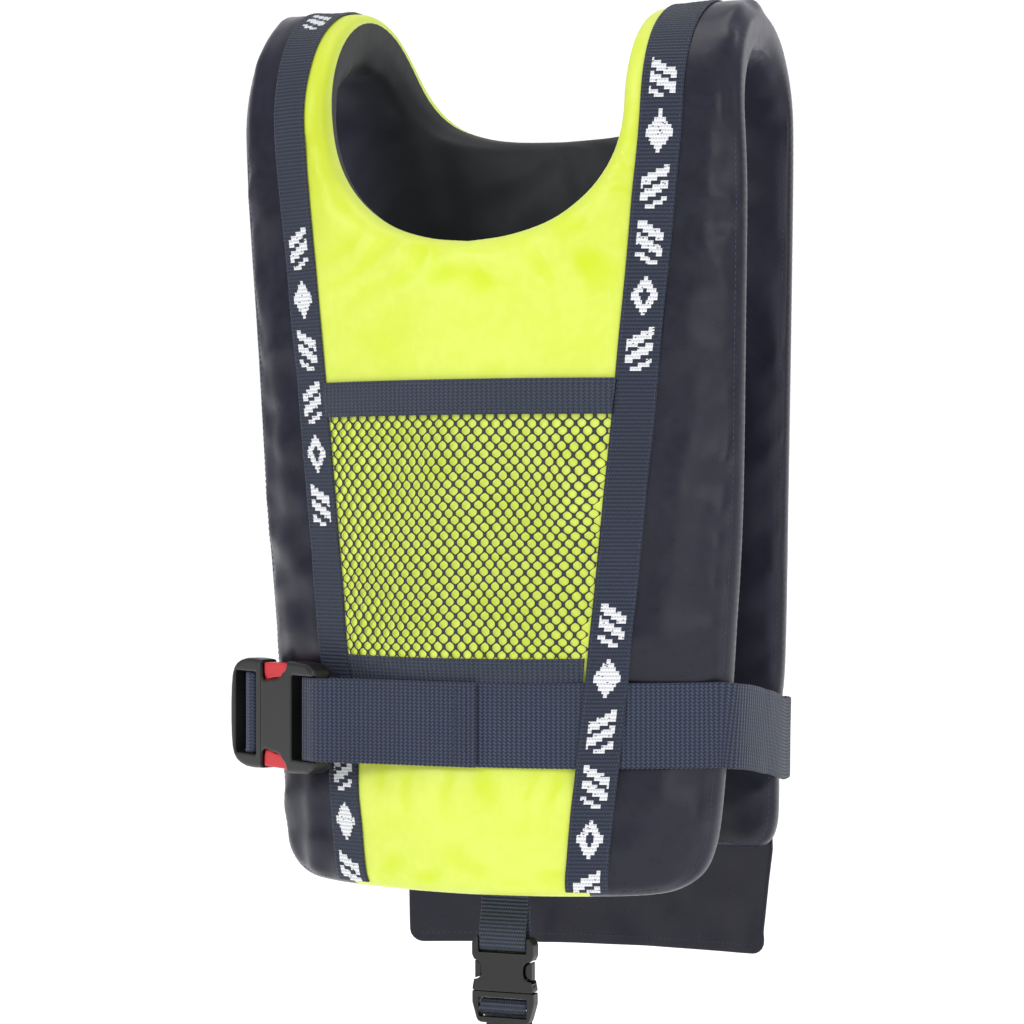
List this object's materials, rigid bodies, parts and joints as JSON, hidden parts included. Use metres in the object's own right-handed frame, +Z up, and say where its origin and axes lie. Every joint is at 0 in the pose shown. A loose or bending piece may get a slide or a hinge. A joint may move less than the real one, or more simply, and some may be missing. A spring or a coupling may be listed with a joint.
{
  "type": "life vest",
  "caption": "Pull-over foam life vest with padded panels, webbing tapes, mesh pocket, waist belt with side-release buckle and crotch strap",
  "frame": {"origin": "middle of the torso opening, at half the height of the foam panels", "axes": "+Z up along the wearer's body, -Y out of the chest panel, +X to the wearer's left"},
  "size_m": [0.3384, 0.2261, 0.7103],
  "materials": {
    "cover_yellow": "satin",
    "cover_navy": "satin",
    "lining": "matte",
    "foam": "matte",
    "webbing": "matte",
    "net": "matte",
    "buckle": "satin",
    "release_red": "satin"
  },
  "bodies": {
    "back": {"back_foam_outer": "foam", "back_foam_inner": "foam", "shoulder_foam_back": "foam", "back_centre_cover": "cover_yellow", "back_side_cover_left": "cover_navy", "back_side_cover_right": "cover_navy", "back_lining": "lining", "back_skirt": "cover_navy", "back_webbing_left": "webbing", "back_webbing_right": "webbing", "belt_back": "webbing"},
    "front": {"front_foam_outer": "foam", "front_foam_inner": "foam", "shoulder_foam_front": "foam", "front_centre_cover": "cover_yellow", "front_side_cover_left": "cover_navy", "front_side_cover_right": "cover_navy", "front_lining": "lining", "front_webbing_left": "webbing", "front_webbing_right": "webbing", "pocket_mesh": "net", "pocket_top_band": "webbing", "pocket_bottom_band": "webbing", "belt_front": "webbing", "buckle_female": "buckle", "crotch_strap_anchor": "webbing", "belt_side_strap_right": "webbing"},
    "buckle_male": {"buckle_male": "buckle", "belt_adjuster_loop": "webbing"},
    "tab_upper": {"release_tab_upper": "release_red"},
    "tab_lower": {"release_tab_lower": "release_red"},
    "crotch_strap": {"crotch_strap_upper": "webbing", "crotch_buckle_female": "buckle"},
    "crotch_male": {"crotch_buckle_male": "buckle", "crotch_strap_lower": "webbing"},
    "crotch_prong_left": {"crotch_prong_left": "buckle"},
    "crotch_prong_right": {"crotch_prong_right": "buckle"}
  },
  "joints": [
    {"name": "shoulder_fold", "type": "hinge", "parent": "back", "child": "front", "pos_m": [0, 0.02, 0.31], "axis": [-1, 0, 0], "range_deg": [0, 12]},
    {"name": "buckle_slide", "type": "slide", "parent": "front", "child": "buckle_male", "axis": [-0.8387, 0.5446, 0], "range_m": [0, 0.046]},
    {"name": "tab_upper_flex", "type": "hinge", "parent": "buckle_male", "child": "tab_upper", "pos_m": [-0.14153, -0.04926, -0.102], "axis": [0.5446, 0.8387, 0], "range_deg": [0, 5.5], "stiffness_Nm_per_rad": 0.02},
    {"name": "tab_lower_flex", "type": "hinge", "parent": "buckle_male", "child": "tab_lower", "pos_m": [-0.14153, -0.04926, -0.147], "axis": [-0.5446, -0.8387, 0], "range_deg": [0, 5.5], "stiffness_Nm_per_rad": 0.02},
    {"name": "crotch_strap_swing", "type": "hinge", "parent": "front", "child": "crotch_strap", "pos_m": [0.01, -0.036, -0.224], "axis": [-1, 0, 0], "range_deg": [-35, 60]},
    {"name": "crotch_buckle_slide", "type": "slide", "parent": "crotch_strap", "child": "crotch_male", "axis": [0, 0, -1], "range_m": [0, 0.026]},
    {"name": "crotch_prong_left_flex", "type": "hinge", "parent": "crotch_male", "child": "crotch_prong_left", "pos_m": [0.022, -0.036, -0.2884], "axis": [0, -1, 0], "range_deg": [0, 5.5], "stiffness_Nm_per_rad": 0.01},
    {"name": "crotch_prong_right_flex", "type": "hinge", "parent": "crotch_male", "child": "crotch_prong_right", "pos_m": [-0.002, -0.036, -0.2884], "axis": [0, 1, 0], "range_deg": [0, 5.5], "stiffness_Nm_per_rad": 0.01}
  ],
  "couplings": [
    {"joint": "tab_lower_flex", "follows": "tab_upper_flex", "ratio": 1},
    {"joint": "crotch_prong_right_flex", "follows": "crotch_prong_left_flex", "ratio": 1}
  ]
}
